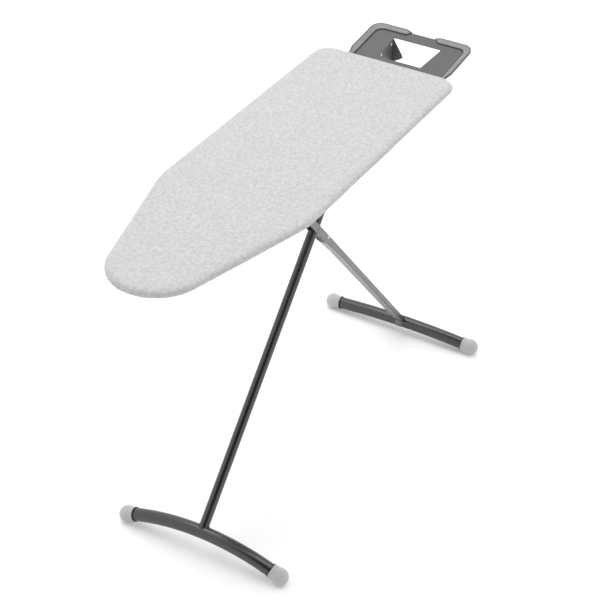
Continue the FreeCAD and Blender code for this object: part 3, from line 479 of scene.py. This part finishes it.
# %% [markdown]
# ## Cloth simulation
# The hem is held where the elastic sits. The cloth around it is 7 % longer than the space it has, so
# it puckers into gathers. The top has its own length, so it stays flat and rounds over the edge of
# the pad. Afterwards no point is let further than 1.2 mm from where it began on the top, or 7.2 mm
# underneath, so that the pad stays covered.

# %% Cloth simulation
FRAMES = 20
HEM_FULL_HEIGHT = 881 * MM  # all of the extra length is below this
HEM_FADE = 9 * MM
TRAVEL_TOP_MM = 1.2
TRAVEL_EXTRA_MM = 6
TRAVEL_FADE_HEIGHT = 884 * MM
TRAVEL_FADE = 3 * MM


def clamped(value):
    return min(max(value, 0.0), 1.0)


cover_start = [vertex.co.copy() for vertex in cover.data.vertices]
held = cover.vertex_groups.new(name="held")
loose = cover.vertex_groups.new(name="loose")
edges_of = {}
for polygon in cover.data.polygons:
    for key in polygon.edge_keys:
        edges_of[key] = edges_of.get(key, 0) + 1
rim = {index for key, count in edges_of.items() if count == 1 for index in key}
held.add(list(rim), 1.0, "REPLACE")
for vertex in cover.data.vertices:
    under = 1.0 - clamped((vertex.co.z - HEM_FULL_HEIGHT) / HEM_FADE)
    loose.add([vertex.index], under, "REPLACE")
print(len(rim), "points of the hem are held")

former.modifiers.new("table", "COLLISION")
former.collision.thickness_outer = 0.6 * MM
former.collision.cloth_friction = 4
cloth = cover.modifiers.new("cloth", "CLOTH")
cloth.settings.quality = 5
cloth.settings.mass = 0.05
cloth.settings.tension_stiffness = 12
cloth.settings.compression_stiffness = 12
cloth.settings.shear_stiffness = 4
cloth.settings.bending_stiffness = 0.3
cloth.settings.vertex_group_mass = "held"
cloth.settings.vertex_group_shrink = "loose"
cloth.settings.shrink_min = 0.0
cloth.settings.shrink_max = -0.07
cloth.collision_settings.distance_min = 0.8 * MM
cloth.point_cache.frame_start = 1
cloth.point_cache.frame_end = FRAMES
for step in range(1, FRAMES + 1):
    bpy.context.scene.frame_set(step)
make_active(cover)
bpy.ops.object.modifier_apply(modifier="cloth")
bpy.context.scene.frame_set(1)
bpy.data.objects.remove(former)

moved = 0.0
for vertex, start in zip(cover.data.vertices, cover_start):
    travel = vertex.co - start
    below = clamped((TRAVEL_FADE_HEIGHT - start.z) / TRAVEL_FADE)
    cap = (TRAVEL_TOP_MM + TRAVEL_EXTRA_MM * below) * MM
    if travel.length > cap:
        vertex.co = start + travel.normalized() * cap
    moved = max(moved, (vertex.co - start).length)
print("the cloth moved up to", round(moved / MM, 1), "mm")

# %% [markdown]
# ## Finish of the cover
# One subdivision smooths the squares. The cover is a sheet held stretched over the pad, and its flat
# size is the table with the 40 mm margin all round.

# %% Finish the cover
subdivision = cover.modifiers.new("smooth", "SUBSURF")
subdivision.levels = 1
subdivision.render_levels = 1
make_active(cover)
bpy.ops.object.modifier_apply(modifier="smooth")
bpy.ops.object.shade_smooth()
cover.data.materials.clear()
cover.data.materials.append(cover_cloth)
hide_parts("cover")
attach(cover, "board")
print(len(cover.data.polygons), "faces in the finished cover")

# %% [markdown]
# ## The hem
# The elastic runs in a tunnel of folded cloth. The tunnel is a copy of the cord's surface, swollen by
# 1.3 mm and puckered along its length by three waves that never fall in step, as gathered cloth is.

# %% The hem
TUNNEL_CLOTH_MM = 1.3
PUCKER = 0.3 * MM

tunnel = copy_of("hem_elastic", "cover_hem_tunnel")
swell(tunnel, TUNNEL_CLOTH_MM)
remesh(tunnel, 2)
for vertex in tunnel.data.vertices:
    run = (vertex.co.x * 0.8 + vertex.co.y * 1.3) / MM
    pucker = math.sin(run / 2.1) + 0.6 * math.sin(run / 3.7 + 1) + 0.4 * math.sin(run / 1.3 + 2)
    vertex.co += vertex.normal * (PUCKER * pucker)
make_active(tunnel)
bpy.ops.object.shade_smooth()
tunnel.data.materials.clear()
tunnel.data.materials.append(cover_cloth)
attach(tunnel, "board")
print(len(tunnel.data.polygons), "faces in the tunnel of the hem")

# %% [markdown]
# ## Weld bead
# A bead of weld runs round the front leg where it meets the arched foot. It starts as a torus round
# the leg, and every point slides along the leg until the torus lies on the foot's surface. Small
# ripples, one every 3 mm, are the pools that the welder left.

# %% Weld bead at the front foot
foot = NODES["front_foot_tube"]
LEG_ANGLE = math.radians(47.91)
LEG_AXIS = Vector((math.cos(LEG_ANGLE), 0, math.sin(LEG_ANGLE)))
LEG_RADIUS = 11.7 * MM
FOOT_END = Vector((-0.4025, 0, 0.0603))
BEAD_RADIUS = 1.6 * MM
BEAD_RING = LEG_RADIUS + 0.6 * MM
RIPPLES = 24
CAST_FROM = 60 * MM
CAST_REACH = 120 * MM

bpy.ops.object.select_all(action="DESELECT")
bpy.ops.mesh.primitive_torus_add(major_radius=BEAD_RING, minor_radius=BEAD_RADIUS,
                                 major_segments=144, minor_segments=14)
bead = bpy.context.active_object
bead.name = "front_foot_weld"
turn = LEG_AXIS.to_track_quat("Z", "Y")
for vertex in bead.data.vertices:
    own = vertex.co.copy()
    around = math.atan2(own.y, own.x)
    rim_point = Vector((math.cos(around), math.sin(around), 0)) * BEAD_RING
    ripple = 1 + 0.12 * math.cos(around * RIPPLES)
    start = FOOT_END + turn @ rim_point + LEG_AXIS * CAST_FROM
    found, place = foot.ray_cast(start, -LEG_AXIS, distance=CAST_REACH)[:2]
    base = place if found else start
    vertex.co = base + turn @ ((own - rim_point) * ripple)
bpy.ops.object.shade_smooth()
bead.data.materials.append(dark_coat)
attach(bead, "front_leg")
print("weld bead", [round(value / MM, 1) for value in bead.dimensions], "mm")

# %% [markdown]
# ## Floor
# A wide pale floor. It glows a little, which lightens the shadows under the feet as a lit backdrop
# does.

# %% Floor
bpy.ops.object.select_all(action="DESELECT")
bpy.ops.mesh.primitive_plane_add(size=60, location=(0, 0, 0))
floor = bpy.context.active_object
floor.name = "studio_floor"
floor_paint, floor_shader = start_material("matt_white_paint", Roughness=0.9)
floor_cloud = grain(floor_paint, 400.0, 2.0)
floor_paint.node_tree.links.new(two_tone(floor_paint, floor_cloud, "F8F8F8", "FAFAFA"),
                                floor_shader.inputs["Base Color"])
floor_shader.inputs["Emission Color"].default_value = (1, 1, 1, 1)
floor_shader.inputs["Emission Strength"].default_value = 0.1
floor.data.materials.append(floor_paint)
print("floor", [round(side) for side in floor.dimensions[:2]], "m")

# %% [markdown]
# ## Light
# Soft light comes from all round. Dark satin tubes only look round when they mirror something bright
# at their edges and something dark in the middle, so the sky behind the camera is dimmed and the
# sides stay bright. The sky is even elsewhere, with one large soft box overhead.

# %% Light
world = bpy.data.worlds.new("studio")
bpy.context.scene.world = world
world.use_nodes = True
sky = world.node_tree
background = sky.nodes["Background"]
direction = sky.nodes.new("ShaderNodeTexCoord")
facing = sky.nodes.new("ShaderNodeVectorMath")
facing.operation = "DOT_PRODUCT"
facing.inputs[1].default_value = -forward
sky.links.new(direction.outputs["Generated"], facing.inputs[0])
dim = sky.nodes.new("ShaderNodeMapRange")
dim.interpolation_type = "SMOOTHSTEP"
SKY_BRIGHT, SKY_DIM = 1.15, 0.02
for socket, value in (("From Min", 0.78), ("From Max", 0.92), ("To Min", SKY_BRIGHT),
                      ("To Max", SKY_DIM)):
    dim.inputs[socket].default_value = value
sky.links.new(facing.outputs["Value"], dim.inputs["Value"])
sky.links.new(dim.outputs["Result"], background.inputs["Strength"])
background.inputs["Color"].default_value = (1, 1, 1, 1)
bpy.context.scene.view_settings.view_transform = "Standard"


def soft_box(name, place, target, size, power):
    """A square area light facing a point."""
    light = bpy.data.lights.new(name, "AREA")
    light.shape = "SQUARE"
    light.size = size
    light.energy = power
    lamp = bpy.data.objects.new(name, light)
    lamp.location = place
    lamp.rotation_mode = "QUATERNION"
    lamp.rotation_quaternion = (Vector(target) - Vector(place)).to_track_quat("-Z", "Y")
    bpy.context.scene.collection.objects.link(lamp)


soft_box("overhead", (0.3, 0.5, 4.0), (0, 0, 0.5), 3.0, 60)
print("sky", SKY_BRIGHT, "to", SKY_DIM)
